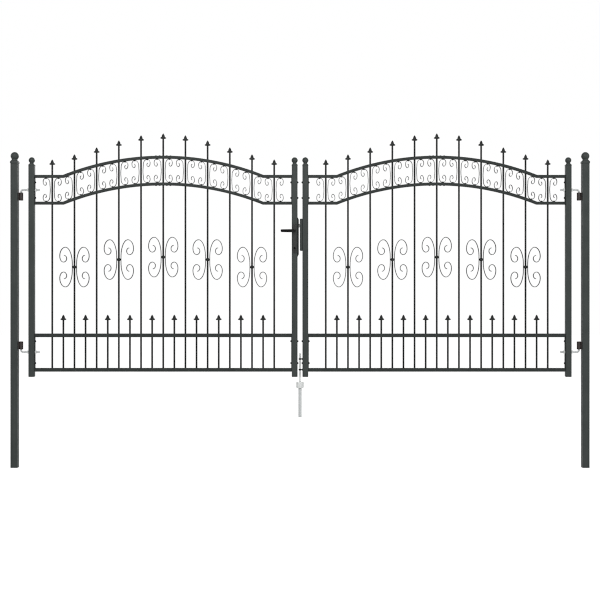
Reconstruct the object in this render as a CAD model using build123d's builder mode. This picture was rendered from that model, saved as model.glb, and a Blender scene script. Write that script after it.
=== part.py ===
from build123d import *
import math
import os

# Driving dimensions, in millimetres. The origin is the middle of the left post's foot,
# +X runs along the gate to the right post, +Y goes through the gate, +Z is up.

# posts, square steel tube
post_size = 50
post_wall = 2
post_foot_plate = 4
post_height = 2136
clear_opening = 3960
post_cap_overhang = 3
post_cap_base = 14
post_cap_neck_height = 17
post_cap_neck_diameter = 39
post_ball_diameter = 57

# leaf frames, square steel tube
stile_size = 40
stile_wall = 1.5
stile_foot = 642
stile_height = 1477
stile_cap_overhang = 1
stile_cap_base = 8
stile_cap_neck_height = 14
stile_cap_neck_diameter = 26
stile_ball_diameter = 43
plug_height = 5
plug_inset = 18
hinge_gap = 75
centre_gap = 35

# rails of one leaf, square bar
arch_rail_size = 20
straight_rail_size = 25
upper_rail_height = 2045
frieze_spacing = 188
arch_rise = 135
middle_rail_height = 928
bottom_rail_height = 686
end_plate_thickness = 4
end_plate_depth = 20

# upright bars
bar_diameter = 12
bar_sides = 6
bar_spacing = 156
bars_each_side = 5
hole_clearance = 0.25

# spear heads
spear_height = 38
spear_width = 41
spear_blade_width = 18
spear_thickness = 9
spear_mean_height = 2249
spear_swing = 98
short_spear_height = 1073
spear_shoulder_share = 0.42
barb_top_share = 0.30
barb_bottom_share = 0.14
barb_heel_share = 0.92

# scrolls, flat strip bent on edge
strip_thickness = 3
strip_depth = 12
seat_clearance = 0.3
frieze_back_gap = 13.5
frieze_curl_start = 31
frieze_curl_end = 9
frieze_turn = 380
frieze_stretch_share = 1.2
frieze_drift = 5
frieze_steps = 6
butterfly_height = 278
butterfly_crest_offset = 64
butterfly_curl_height = 72
butterfly_curl_start = 50
butterfly_curl_end = 14
butterfly_turn = 360
butterfly_drift = 11
butterfly_stem_steps = 2
butterfly_curl_steps = 7
butterfly_centre_height = 1478
butterfly_outer_drop = 70
quarter_turn = 90
collar_width = 26
collar_neck_width = 18
collar_height = 20
collar_depth = 22
collar_band_share = 0.3

# hinges: a barrel on the post, an L-shaped pin through the stile
barrel_diameter = 28
barrel_height = 55
barrel_offset = 20
barrel_web = 16
barrel_bore_depth = 45
upper_hinge_drop = 95
lower_hinge_rise = 125
pin_diameter = 12
pin_sides = 12
pin_bend = 14
pin_drop = 19
pin_reach = 36
running_clearance = 0.05
pin_end_clearance = 0.4
pin_hole_clearance = 0.3

# lock in the left leaf's lock stile
forend_height = 278
forend_foot = 1480
forend_proud = 8.5
forend_slope = 16
forend_depth = 24
latch_height_above_floor = 1699
latch_height = 26
latch_depth = 14
latch_length = 40
latch_tip_gap = 0.6
latch_clearance = 0.3
lock_plate_width = 28
lock_plate_height = 202
lock_plate_foot = 1507
lock_plate_thickness = 6
lock_plate_corner = 4
cylinder_height = 1533
cylinder_diameter = 17
cylinder_proud = 4
spindle_height = 1663.5
spindle_diameter = 14
lever_reach = 95
lever_height = 15
lever_thickness = 10
lever_standoff = 32
lever_clearance = 0.4

# strike box on the right leaf's lock stile
strike_height = 225
strike_foot = 1522
strike_proud = 18.5
strike_corner = 6
strike_depth = 30

# drop bolt on the right leaf and its sleeve in the ground
rod_diameter = 10
rod_top = 797
rod_handle_reach = 45
rod_bend = 8
rod_clearance = 0.1
rod_lift = 0.4
bolt_projection = 40
guide_diameter = 19
guide_height = 10
guide_bar_width = 9
upper_guide_height = 762
lower_guide_height = 687
sleeve_diameter = 23
sleeve_wall = 2.5
sleeve_length = 205
cup_width = 54
cup_height = 43
cup_sides = 6

# one length by which every cut runs past the face it cuts
overrun = 5

# Places worked out from the sizes above.
gate_middle = post_size / 2 + clear_opening / 2
leaf_width = (clear_opening - 2 * hinge_gap - centre_gap) / 2
leaf_shift = centre_gap / 2 + leaf_width / 2
panel_half = leaf_width / 2 - stile_size
hinge_axis = post_size / 2 + barrel_offset
lower_frieze_height = upper_rail_height - frieze_spacing
frieze_middle = upper_rail_height - frieze_spacing / 2
bottom_rail_top = bottom_rail_height + straight_rail_size / 2
upper_pin = upper_rail_height - upper_hinge_drop
lower_pin = bottom_rail_height + lower_hinge_rise
upper_barrel_foot = upper_pin - pin_drop - barrel_height
lower_barrel_foot = lower_pin + pin_drop
bar_radius = bar_diameter / 2
arch_half_span = (bars_each_side - 1 / 2) * bar_spacing
arch_radius = (arch_half_span**2 + arch_rise**2) / (2 * arch_rise)
long_bar_places = [k * bar_spacing for k in range(-bars_each_side, bars_each_side + 1)]
short_bar_places = [place + bar_spacing / 2 for place in long_bar_places[:-1]]
butterfly_places = long_bar_places[1::2]
sides = {"left": -1, "right": 1}

os.makedirs("parts", exist_ok=True)


def save(block, name):
    """Label a finished piece and write it."""
    block.part.label = name
    export_step(block.part, f"parts/{name}.step")


def front(x, z=0, y=0):
    """An upright plane along the gate, drawn on with X to the right and Z up."""
    return Plane(origin=(x, y, z), x_dir=(1, 0, 0), z_dir=(0, -1, 0))


def edge_on(x, z=0):
    """An upright plane across the gate, drawn on with Y to the right and Z up."""
    return Plane(origin=(x, 0, z), x_dir=(0, 1, 0), z_dir=(1, 0, 0))


def level(x, z):
    """A flat plane at height z, drawn on with X to the right and Y to the back."""
    return Plane(origin=(x, 0, z))


def arch_lift(place):
    """How far the arched rails have risen at a place measured from the leaf's middle."""
    if abs(place) >= arch_half_span:
        return 0
    return arch_rise - arch_radius + math.sqrt(arch_radius**2 - place**2)


def edge_lift(place, edge):
    """Height of an arched rail's upper or lower edge at a place measured from the leaf's middle."""
    arc = arch_rise - arch_radius + math.sqrt((arch_radius + edge) ** 2 - place**2)
    return max(edge, arc)


def strip_outline(path, thickness):
    """Both edges of a flat strip that follows a path of points, as one closed run of points."""
    outer, inner = [], []
    for i, point in enumerate(path):
        before = path[max(i - 1, 0)]
        after = path[min(i + 1, len(path) - 1)]
        into = (point - before).normalized() if i else (after - point).normalized()
        out = (after - point).normalized() if i < len(path) - 1 else into
        middle = (into + out).normalized()
        across = Vector(-middle.Y, middle.X)
        half = thickness / 2 / max(middle.dot(into), 1 / 2)
        outer.append(point + across * half)
        inner.append(point - across * half)
    return outer + inner[::-1]


def spiral(middle, radii, first, turn, steps, stretch, drift):
    """Points of a curl that closes in evenly on a middle that drifts outward and down as it goes."""
    start, end = radii
    points = []
    for i in range(steps + 1):
        angle = math.radians(first + turn * i / steps)
        radius = start * (end / start) ** (i / steps)
        reach = Vector(-radius * math.cos(angle), stretch * radius * math.sin(angle))
        points.append(middle + Vector(drift, -drift) * (i / steps) + reach)
    return points


def whole_scroll(upper, side):
    """Both halves of a scroll from its upper half, turned to one side of its bar."""
    lower = [Vector(side * p.X, -p.Y) for p in reversed(upper)]
    return lower + [Vector(side * p.X, p.Y) for p in upper]


# Posts: square tube with a ball cap on top. They are drawn whole, down to the plate that
# closes the foot, which is set in the ground.
post_places = {"left": 0, "right": 2 * gate_middle}
for side, post_x in post_places.items():
    with BuildPart() as post:
        with BuildSketch(level(post_x, 0)):
            Rectangle(post_size, post_size)
            Rectangle(post_size - 2 * post_wall, post_size - 2 * post_wall, mode=Mode.SUBTRACT)
        extrude(amount=post_height)
        with BuildSketch(level(post_x, 0)):
            Rectangle(post_size, post_size)
        extrude(amount=post_foot_plate)
    save(post, f"{side}_post")


def ball_cap(x, foot, width, base, neck_height, neck_diameter, ball):
    """A square cap that slopes to a turned neck with a ball, standing on the end of a tube."""
    with BuildSketch(level(x, foot)) as plate:
        Rectangle(width, width)
    extrude(plate.sketch, amount=base)
    with BuildSketch(front(x, foot + base)) as turning:
        with BuildLine():
            neck = neck_diameter / 2
            seat = math.sqrt((ball / 2) ** 2 - neck**2)
            middle = neck_height + seat
            Line((0, 0), (width / 2, 0))
            Line((width / 2, 0), (neck, neck_height))
            ThreePointArc((neck, neck_height), (ball / 2, middle), (0, middle + ball / 2))
            Line((0, middle + ball / 2), (0, 0))
        make_face()
    revolve(turning.sketch, axis=Axis((x, 0, 0), (0, 0, 1)))


post_cap_sizes = (
    post_size + 2 * post_cap_overhang,
    post_cap_base,
    post_cap_neck_height,
    post_cap_neck_diameter,
    post_ball_diameter,
)
with BuildPart() as post_caps:
    for post_x in post_places.values():
        ball_cap(post_x, post_height, *post_cap_sizes)
save(post_caps, "post_caps")

# Hinge barrels: a round socket on a short web, welded to the post. The pins stand in them,
# the upper pin from above and the lower pin from below, so that the leaf can't be lifted off.
for side, direction in sides.items():
    axis_x = gate_middle + direction * (gate_middle - hinge_axis)
    web_x = axis_x + direction * barrel_offset / 2
    with BuildPart() as barrels:
        for foot in (lower_barrel_foot, upper_barrel_foot):
            with BuildSketch(level(axis_x, foot)):
                Circle(barrel_diameter / 2)
            extrude(amount=barrel_height)
            with BuildSketch(level(web_x, foot)):
                Rectangle(barrel_offset, barrel_web)
            extrude(amount=barrel_height)
        for mouth, depth in (
            (lower_barrel_foot, barrel_bore_depth),
            (upper_barrel_foot + barrel_height, -barrel_bore_depth),
        ):
            with BuildSketch(level(axis_x, mouth)):
                Circle(pin_diameter / 2 + running_clearance)
            extrude(amount=depth, mode=Mode.SUBTRACT)
    save(barrels, f"{side}_hinge_barrels")

# Ground sleeve: a six-sided cup on a tube, set in the drive under the drop bolt.
rod_x = gate_middle
rod_foot = stile_foot - bolt_projection
cup_top = rod_foot - rod_lift
with BuildPart() as sleeve:
    with BuildSketch(level(rod_x, cup_top - cup_height)):
        RegularPolygon(cup_width / 2, cup_sides)
    extrude(amount=cup_height)
    with BuildSketch(level(rod_x, cup_top - cup_height)):
        Circle(sleeve_diameter / 2)
    extrude(amount=-sleeve_length)
    with BuildSketch(level(rod_x, cup_top + overrun)):
        Circle(sleeve_diameter / 2 - sleeve_wall)
    extrude(amount=-(cup_height + sleeve_length + 2 * overrun), mode=Mode.SUBTRACT)
save(sleeve, "ground_sleeve")


def spear_tip(place):
    """The tips of the long bars rise to the leaf's middle and fall again in a smooth wave."""
    return spear_mean_height + spear_swing * math.cos(math.pi * place / bar_spacing / (bars_each_side + 1))


def arched_rail(leaf_x, height):
    """A rail that runs level from each stile, then rises in one arc over the middle of the leaf."""
    arc_middle = height + arch_rise - arch_radius
    half = arch_rail_size / 2
    ends = {}
    for sign in (1, -1):
        edge = height + sign * half
        reach = math.sqrt((arch_radius + sign * half) ** 2 - (edge - arc_middle) ** 2)
        ends[sign] = (edge, reach, edge + arch_rise)
    with BuildSketch(front(leaf_x)) as elevation:
        with BuildLine():
            for edge, reach, crown in ends.values():
                ThreePointArc((-reach, edge), (0, crown), (reach, edge))
                Line((-panel_half, edge), (-reach, edge))
                Line((reach, edge), (panel_half, edge))
            for end in (-panel_half, panel_half):
                Line((end, height - half), (end, height + half))
        make_face()
    extrude(elevation.sketch, amount=half, both=True)


def straight_rail(leaf_x, height):
    """A level rail between the two stiles."""
    with BuildSketch(front(leaf_x, height)) as elevation:
        Rectangle(2 * panel_half, straight_rail_size)
    extrude(elevation.sketch, amount=straight_rail_size / 2, both=True)


def bar_holes(leaf_x, places, height, reach):
    """The holes in a rail that the bars pass through."""
    with BuildSketch(level(leaf_x, height - reach)) as row:
        with Locations(*[(place, 0) for place in places]):
            RegularPolygon(bar_radius + hole_clearance, bar_sides)
    extrude(row.sketch, amount=2 * reach, mode=Mode.SUBTRACT)


def frieze_scroll(leaf_x, place, side):
    """One C-scroll of the frieze, on one side of a bar, as tall as the arched rails leave room for."""
    middle = Vector(frieze_back_gap + frieze_curl_start, 0)
    radii = (frieze_curl_start, frieze_curl_end)
    curl = spiral(middle, radii, 0, frieze_turn, frieze_steps, frieze_stretch_share, frieze_drift)
    lift = arch_lift(place + side * middle.X)
    room = []
    for p in strip_outline(curl, strip_thickness):
        above = edge_lift(place + side * p.X, -arch_rail_size / 2) - lift
        below = lift - edge_lift(place + side * p.X, arch_rail_size / 2)
        room.append(frieze_spacing / 2 + min(above, below) - p.Y)
    rise = Vector(0, min(room) - seat_clearance)
    path = whole_scroll([p + rise for p in curl], side)
    with BuildSketch(front(leaf_x + place, frieze_middle + lift)) as strip:
        with BuildLine():
            Polyline(*strip_outline(path, strip_thickness), close=True)
        make_face()
    extrude(strip.sketch, amount=strip_depth / 2, both=True)


def butterfly_height_at(place):
    """The ornaments hang lower towards the stiles, in step with the arch."""
    share = abs(place) / (bars_each_side - 1) / bar_spacing
    return butterfly_centre_height - butterfly_outer_drop * share**2


def butterfly_half(leaf_x, place, side):
    """One of the two scrolls that stand on a collar, one each side of a bar."""
    stem_place = collar_width / 2 + seat_clearance + strip_thickness / 2
    crest = butterfly_height / 2 - strip_thickness / 2
    stem = []
    for i in range(butterfly_stem_steps):
        angle = math.radians(quarter_turn * i / butterfly_stem_steps)
        reach = (butterfly_crest_offset - stem_place) * math.cos(angle)
        rise = (crest - collar_height) * math.sin(angle)
        stem.append(Vector(butterfly_crest_offset - reach, collar_height + rise))
    middle = Vector(butterfly_crest_offset, butterfly_curl_height)
    stretch = (crest - butterfly_curl_height) / butterfly_curl_start
    radii = (butterfly_curl_start, butterfly_curl_end)
    turns = (quarter_turn, butterfly_turn, butterfly_curl_steps)
    curl = spiral(middle, radii, *turns, stretch, butterfly_drift)
    path = whole_scroll(stem + curl, side)
    with BuildSketch(front(leaf_x + place, butterfly_height_at(place))) as strip:
        with BuildLine():
            Polyline(*strip_outline(path, strip_thickness), close=True)
        make_face()
    extrude(strip.sketch, amount=strip_depth / 2, both=True)


def collar(x, height):
    """A bead on a bar, widest at its middle band, where the two scrolls stand on its sides."""
    band = collar_height * collar_band_share / 2
    wide = collar_width / 2
    narrow = collar_neck_width / 2
    top = collar_height / 2
    right = [(narrow, -top), (wide, -band), (wide, band), (narrow, top)]
    left = [(-x_, z_) for x_, z_ in reversed(right)]
    with BuildSketch(front(x, height)) as bead:
        with BuildLine():
            Polyline(*right, *left, close=True)
        make_face()
    extrude(bead.sketch, amount=collar_depth / 2, both=True)
    with BuildSketch(level(x, height)) as bore:
        RegularPolygon(bar_radius + seat_clearance, bar_sides)
    extrude(bore.sketch, amount=collar_height, both=True, mode=Mode.SUBTRACT)


def spear_head(x, tip):
    """A flat spear head with two barbs, standing on the end of a bar."""
    half = spear_width / 2
    blade = spear_blade_width / 2
    right = [
        (bar_radius, -spear_height),
        (half * barb_heel_share, -spear_height * (1 - barb_bottom_share)),
        (half, -spear_height * (1 - barb_top_share)),
        (blade, -spear_height * (1 - spear_shoulder_share)),
    ]
    left = [(-x_, z_) for x_, z_ in reversed(right)]
    with BuildSketch(front(x, tip)) as head:
        with BuildLine():
            Polyline(*right, (0, 0), *left, close=True)
        make_face()
    extrude(head.sketch, amount=spear_thickness / 2, both=True)


for side, direction in sides.items():
    leaf_x = gate_middle + direction * leaf_shift
    hinge_stile_x = leaf_x + direction * (leaf_width / 2 - stile_size / 2)
    lock_stile_x = leaf_x - direction * (leaf_width / 2 - stile_size / 2)
    axis_x = gate_middle + direction * (gate_middle - hinge_axis)
    hinge_face = gate_middle + direction * (centre_gap / 2 + leaf_width)
    lock_face = gate_middle + direction * centre_gap / 2

    # Stiles: square tube, drilled for the hinge pins and the lock.
    with BuildPart() as hinge_stile:
        with BuildSketch(level(hinge_stile_x, stile_foot)):
            Rectangle(stile_size, stile_size)
            Rectangle(stile_size - 2 * stile_wall, stile_size - 2 * stile_wall, mode=Mode.SUBTRACT)
        extrude(amount=stile_height)
        for height in (upper_pin, lower_pin):
            with BuildSketch(edge_on(hinge_stile_x, height)):
                RegularPolygon(pin_diameter / 2 + pin_hole_clearance, pin_sides)
            extrude(amount=stile_size / 2 + overrun, both=True, mode=Mode.SUBTRACT)
    save(hinge_stile, f"{side}_hinge_stile")

    with BuildPart() as lock_stile:
        with BuildSketch(level(lock_stile_x, stile_foot)):
            Rectangle(stile_size, stile_size)
            Rectangle(stile_size - 2 * stile_wall, stile_size - 2 * stile_wall, mode=Mode.SUBTRACT)
        extrude(amount=stile_height)
        if side == "left":
            with BuildSketch(front(lock_stile_x, spindle_height)):
                RegularPolygon(spindle_diameter / 2 + lever_clearance, pin_sides, major_radius=False)
            extrude(amount=stile_size / 2 + overrun, both=True, mode=Mode.SUBTRACT)
            with BuildSketch(front(lock_stile_x, cylinder_height)):
                RegularPolygon(cylinder_diameter / 2 + seat_clearance, pin_sides, major_radius=False)
            extrude(amount=stile_size / 2 + overrun, both=True, mode=Mode.SUBTRACT)
            with BuildSketch(edge_on(lock_stile_x, latch_height_above_floor)):
                Rectangle(latch_depth + 2 * latch_clearance, latch_height + 2 * latch_clearance)
            extrude(amount=stile_size / 2 + overrun, mode=Mode.SUBTRACT)
    save(lock_stile, f"{side}_lock_stile")

    cap_sizes = (
        stile_size + 2 * stile_cap_overhang,
        stile_cap_base,
        stile_cap_neck_height,
        stile_cap_neck_diameter,
        stile_ball_diameter,
    )
    with BuildPart() as stile_caps:
        for stile_x in (hinge_stile_x, lock_stile_x):
            ball_cap(stile_x, stile_foot + stile_height, *cap_sizes)
    save(stile_caps, f"{side}_stile_caps")

    with BuildPart() as plugs:
        for stile_x in (hinge_stile_x, lock_stile_x):
            with BuildSketch(level(stile_x, stile_foot)):
                Rectangle(stile_size, stile_size)
            extrude(amount=-plug_height)
            with BuildSketch(level(stile_x, stile_foot)):
                inside = stile_size - 2 * stile_wall - 2 * seat_clearance
                Rectangle(inside, inside)
            extrude(amount=plug_inset)
    save(plugs, f"{side}_stile_plugs")

    # Rails: two arched ones that hold the frieze, two straight ones that hold the lower panel.
    for name, height in (("upper_arch_rail", upper_rail_height), ("lower_arch_rail", lower_frieze_height)):
        with BuildPart() as rail:
            arched_rail(leaf_x, height)
            bar_holes(leaf_x, long_bar_places, height, arch_rise + arch_rail_size)
        save(rail, f"{side}_{name}")

    with BuildPart() as middle_rail:
        straight_rail(leaf_x, middle_rail_height)
        bar_holes(leaf_x, long_bar_places + short_bar_places, middle_rail_height, straight_rail_size)
    save(middle_rail, f"{side}_middle_rail")

    with BuildPart() as bottom_rail:
        straight_rail(leaf_x, bottom_rail_height)
    save(bottom_rail, f"{side}_bottom_rail")

    # End plates: flat pieces between the rails' ends, bolted through the stiles.
    spans = (
        (lower_frieze_height + arch_rail_size / 2, upper_rail_height - arch_rail_size / 2),
        (bottom_rail_top, middle_rail_height - straight_rail_size / 2),
    )
    with BuildPart() as end_plates:
        for low, high in spans:
            for end in (-1, 1):
                plate_x = leaf_x + end * (panel_half - end_plate_thickness / 2)
                with BuildSketch(level(plate_x, low)):
                    Rectangle(end_plate_thickness, end_plate_depth)
                extrude(amount=high - low)
        for height in (upper_pin, lower_pin):
            with BuildSketch(edge_on(hinge_stile_x, height)):
                RegularPolygon(pin_diameter / 2 + pin_hole_clearance, pin_sides)
            extrude(amount=stile_size, both=True, mode=Mode.SUBTRACT)
    save(end_plates, f"{side}_end_plates")

    # Bars: round bars that pass through the rails and end in spear heads.
    with BuildPart() as long_bars:
        for place in long_bar_places:
            with BuildSketch(level(leaf_x + place, bottom_rail_top)):
                RegularPolygon(bar_radius, bar_sides)
            extrude(amount=spear_tip(place) - spear_height - bottom_rail_top)
    save(long_bars, f"{side}_long_bars")

    with BuildPart() as short_bars:
        with BuildSketch(level(leaf_x, bottom_rail_top)):
            with Locations(*[(place, 0) for place in short_bar_places]):
                RegularPolygon(bar_radius, bar_sides)
        extrude(amount=short_spear_height - spear_height - bottom_rail_top)
    save(short_bars, f"{side}_short_bars")

    with BuildPart() as spear_heads:
        for place in long_bar_places:
            spear_head(leaf_x + place, spear_tip(place))
        for place in short_bar_places:
            spear_head(leaf_x + place, short_spear_height)
    save(spear_heads, f"{side}_spear_heads")

    # Scrolls: flat strip bent cold into curls, between the arched rails and on every second bar.
    with BuildPart() as frieze_scrolls:
        for place in long_bar_places:
            for way in (-1, 1):
                frieze_scroll(leaf_x, place, way)
    save(frieze_scrolls, f"{side}_frieze_scrolls")

    with BuildPart() as butterflies:
        for place in butterfly_places:
            for way in (-1, 1):
                butterfly_half(leaf_x, place, way)
    save(butterflies, f"{side}_butterfly_scrolls")

    with BuildPart() as collars:
        for place in butterfly_places:
            collar(leaf_x + place, butterfly_height_at(place))
    save(collars, f"{side}_collars")

    # Hinge pins: round bar bent to an L, bolted through the stile, with the short leg in the barrel.
    with BuildPart() as pins:
        reach = abs(hinge_face - axis_x) + stile_size + pin_reach
        leg = pin_drop + barrel_bore_depth - pin_end_clearance
        for height, toward in ((upper_pin, -1), (lower_pin, 1)):
            bend_x = axis_x - direction * pin_bend
            bend_z = height + toward * pin_bend
            with BuildSketch(level(axis_x, bend_z)) as section:
                RegularPolygon(pin_diameter / 2, pin_sides)
            extrude(amount=toward * (leg - pin_bend))
            bend_axis = Axis((bend_x, 0, bend_z), (0, toward * direction, 0))
            revolve(section.sketch, axis=bend_axis, revolution_arc=quarter_turn)
            with BuildSketch(edge_on(bend_x, height)):
                RegularPolygon(pin_diameter / 2, pin_sides)
            extrude(amount=-direction * (reach - pin_bend))
    save(pins, f"{side}_hinge_pins")

# Lock: a forend on the left leaf's edge, and a long plate on each face with the lever's spindle
# and a key cylinder.
lock_edge = gate_middle - centre_gap / 2
lock_stile_x = lock_edge - stile_size / 2
with BuildPart() as forend:
    with BuildSketch(front(lock_edge, forend_foot)):
        with BuildLine():
            Polyline(
                (0, 0),
                (forend_proud, forend_slope),
                (forend_proud, forend_height - forend_slope),
                (0, forend_height),
                close=True,
            )
        make_face()
    extrude(amount=forend_depth / 2, both=True)
    with BuildSketch(edge_on(lock_edge, latch_height_above_floor)):
        Rectangle(latch_depth + 2 * latch_clearance, latch_height + 2 * latch_clearance)
    extrude(amount=forend_proud + overrun, both=True, mode=Mode.SUBTRACT)
save(forend, "lock_forend")

strike_face = gate_middle + centre_gap / 2 - strike_proud
latch_tip = strike_face - latch_tip_gap
with BuildPart() as latch:
    with BuildSketch(edge_on(latch_tip, latch_height_above_floor)):
        Rectangle(latch_depth, latch_height)
    extrude(amount=-latch_length)
save(latch, "latch_bolt")

with BuildPart() as lock_plates:
    for face in (-1, 1):
        plate_y = face * (stile_size + lock_plate_thickness) / 2
        plate_z = lock_plate_foot + lock_plate_height / 2
        with BuildSketch(front(lock_stile_x, plate_z, plate_y)):
            corners = Rectangle(lock_plate_width, lock_plate_height).vertices()
            chamfer(corners, lock_plate_corner)
        extrude(amount=lock_plate_thickness / 2, both=True)
    for height, radius in (
        (spindle_height, spindle_diameter / 2 + lever_clearance),
        (cylinder_height, cylinder_diameter / 2 + seat_clearance),
    ):
        with BuildSketch(front(lock_stile_x, height)):
            RegularPolygon(radius, pin_sides, major_radius=False)
        extrude(amount=stile_size / 2 + lock_plate_thickness + overrun, both=True, mode=Mode.SUBTRACT)
save(lock_plates, "lock_plates")

with BuildPart() as cylinder:
    with BuildSketch(front(lock_stile_x, cylinder_height)):
        Circle(cylinder_diameter / 2)
    extrude(amount=stile_size / 2 + lock_plate_thickness + cylinder_proud, both=True)
save(cylinder, "lock_cylinder")

lever_face = stile_size / 2 + lock_plate_thickness + lever_standoff
with BuildPart() as levers:
    with BuildSketch(front(lock_stile_x, spindle_height)):
        Circle(spindle_diameter / 2)
    extrude(amount=lever_face, both=True)
    for face in (-1, 1):
        middle_y = face * (lever_face - lever_thickness / 2)
        with BuildSketch(front(lock_stile_x, spindle_height, middle_y)):
            with Locations((-lever_reach / 2, 0)):
                SlotCenterToCenter(lever_reach, lever_height)
        extrude(amount=lever_thickness / 2, both=True)
save(levers, "lever_handles")

# Strike: a shallow box on the right leaf's edge that the latch closes against.
with BuildPart() as strike:
    with BuildSketch(front(strike_face + strike_proud, strike_foot)):
        with BuildLine():
            Polyline(
                (0, 0),
                (strike_corner - strike_proud, 0),
                (-strike_proud, strike_corner),
                (-strike_proud, strike_height - strike_corner),
                (strike_corner - strike_proud, strike_height),
                (0, strike_height),
                close=True,
            )
        make_face()
    extrude(amount=strike_depth / 2, both=True)
save(strike, "lock_strike")

# Drop bolt: a rod in two eyes on the right leaf's edge, with its top bent back as a handle.
with BuildPart() as guides:
    for height in (lower_guide_height, upper_guide_height):
        with BuildSketch(level(rod_x, height - guide_height / 2)):
            RegularPolygon(guide_diameter / 2, pin_sides)
            with Locations((centre_gap / 4, 0)):
                Rectangle(centre_gap / 2, guide_bar_width)
            RegularPolygon(rod_diameter / 2 + rod_clearance, pin_sides, mode=Mode.SUBTRACT)
        extrude(amount=guide_height)
save(guides, "drop_bolt_guides")

with BuildPart() as rod:
    with BuildSketch(level(rod_x, rod_top - rod_bend)) as section:
        RegularPolygon(rod_diameter / 2, pin_sides)
    extrude(amount=rod_foot - rod_top + rod_bend)
    bend_axis = Axis((rod_x, rod_bend, rod_top - rod_bend), (-1, 0, 0))
    revolve(section.sketch, axis=bend_axis, revolution_arc=quarter_turn)
    with BuildSketch(front(rod_x, rod_top, rod_bend)):
        RegularPolygon(rod_diameter / 2, pin_sides)
    extrude(amount=rod_bend - rod_handle_reach)
save(rod, "drop_bolt")
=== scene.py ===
import math

import bmesh
import bpy
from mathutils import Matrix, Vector


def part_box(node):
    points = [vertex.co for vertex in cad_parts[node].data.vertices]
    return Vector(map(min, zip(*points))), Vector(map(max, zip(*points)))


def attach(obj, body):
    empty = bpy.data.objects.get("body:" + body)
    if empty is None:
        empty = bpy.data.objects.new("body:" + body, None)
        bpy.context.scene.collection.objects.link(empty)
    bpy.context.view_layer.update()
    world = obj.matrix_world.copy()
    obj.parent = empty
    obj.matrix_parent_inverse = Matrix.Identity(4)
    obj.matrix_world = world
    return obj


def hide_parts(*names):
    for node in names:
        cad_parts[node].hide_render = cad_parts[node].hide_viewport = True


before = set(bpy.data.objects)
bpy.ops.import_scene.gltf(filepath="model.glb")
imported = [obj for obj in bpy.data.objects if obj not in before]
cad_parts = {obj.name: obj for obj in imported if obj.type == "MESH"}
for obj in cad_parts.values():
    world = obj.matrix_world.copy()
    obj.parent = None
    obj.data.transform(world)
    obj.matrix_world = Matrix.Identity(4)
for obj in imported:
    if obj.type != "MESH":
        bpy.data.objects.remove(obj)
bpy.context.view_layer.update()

# Posts: 50 mm square steel tube with rolled corners, powder coated in anthracite.
# Each stands in the ground on a plate that closes its foot, and the coat runs the whole length.
mm = 0.001
sides = {"left": -1, "right": 1}
post_corner = 4 * mm
post_ease = 0.8 * mm
corner_steps = 4
sharp_angle = math.radians(40)
dust_grey = (0.075, 0.080, 0.076, 1)


def add(finish, kind, inputs, **settings):
    """Adds a shader node, links or sets its inputs, and gives it back."""
    node = finish.node_tree.nodes.new(kind)
    for key, value in settings.items():
        setattr(node, key, value)
    for key, value in inputs.items():
        if isinstance(value, bpy.types.NodeSocket):
            finish.node_tree.links.new(value, node.inputs[key])
        else:
            node.inputs[key].default_value = value
    return node


def finish_of(name):
    """A new material, its surface shader, and the place on the object that its patterns follow."""
    finish = bpy.data.materials.new(name)
    finish.use_nodes = True
    place = add(finish, "ShaderNodeTexCoord", {}).outputs["Object"]
    return finish, finish.node_tree.nodes["Principled BSDF"], place


def mottle(finish, place, scale, dark, light):
    """Cloudy colour between two shades, as one colour output."""
    cloud = add(finish, "ShaderNodeTexNoise",
                {"Vector": place, "Scale": scale, "Detail": 6.0, "Roughness": 0.6})
    ramp = add(finish, "ShaderNodeValToRGB", {"Fac": cloud.outputs["Fac"]})
    for stop, position, shade in zip(ramp.color_ramp.elements, (0.3, 0.7), (dark, light)):
        stop.position = position
        stop.color = (*shade, 1)
    return ramp.outputs["Color"]


def uneven(finish, place, scale, limits):
    """A value that wanders between two limits, for roughness."""
    cloud = add(finish, "ShaderNodeTexNoise", {"Vector": place, "Scale": scale, "Detail": 3.0})
    span = add(finish, "ShaderNodeMapRange",
               {"Value": cloud.outputs["Fac"], "From Min": 0.3, "From Max": 0.7,
                "To Min": limits[0], "To Max": limits[1]})
    return span.outputs["Result"]


def grain(finish, place, scale, strength, depth):
    """A fine relief, as a normal output."""
    peel = add(finish, "ShaderNodeTexNoise", {"Vector": place, "Scale": scale, "Detail": 2.0})
    relief = add(finish, "ShaderNodeBump",
                 {"Height": peel.outputs["Fac"], "Strength": strength, "Distance": depth})
    return relief.outputs["Normal"]


def powder_coat(name, dark, light, dust):
    """Anthracite powder coat: orange peel, faint clouds, and dust that has run down in streaks."""
    finish, shader, place = finish_of(name)
    tone = mottle(finish, place, scale=9.0, dark=dark, light=light)
    tall = add(finish, "ShaderNodeMapping", {"Vector": place, "Scale": (140.0, 140.0, 2.2)})
    runs = add(finish, "ShaderNodeTexNoise",
               {"Vector": tall.outputs["Vector"], "Scale": 1.0, "Detail": 4.0})
    thin = add(finish, "ShaderNodeMapRange",
               {"Value": runs.outputs["Fac"], "From Min": 0.5, "From Max": 0.85,
                "To Min": 0.0, "To Max": dust})
    grey = add(finish, "ShaderNodeMix",
               {"Factor": thin.outputs["Result"], "A": tone, "B": dust_grey}, data_type="RGBA")
    links = finish.node_tree.links
    links.new(grey.outputs[2], shader.inputs["Base Color"])
    links.new(uneven(finish, place, scale=30.0, limits=(0.40, 0.56)), shader.inputs["Roughness"])
    peel = grain(finish, place, scale=900.0, strength=0.16, depth=0.4 * mm)
    links.new(peel, shader.inputs["Normal"])
    shader.inputs["Specular IOR Level"].default_value = 0.3
    return finish


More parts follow.
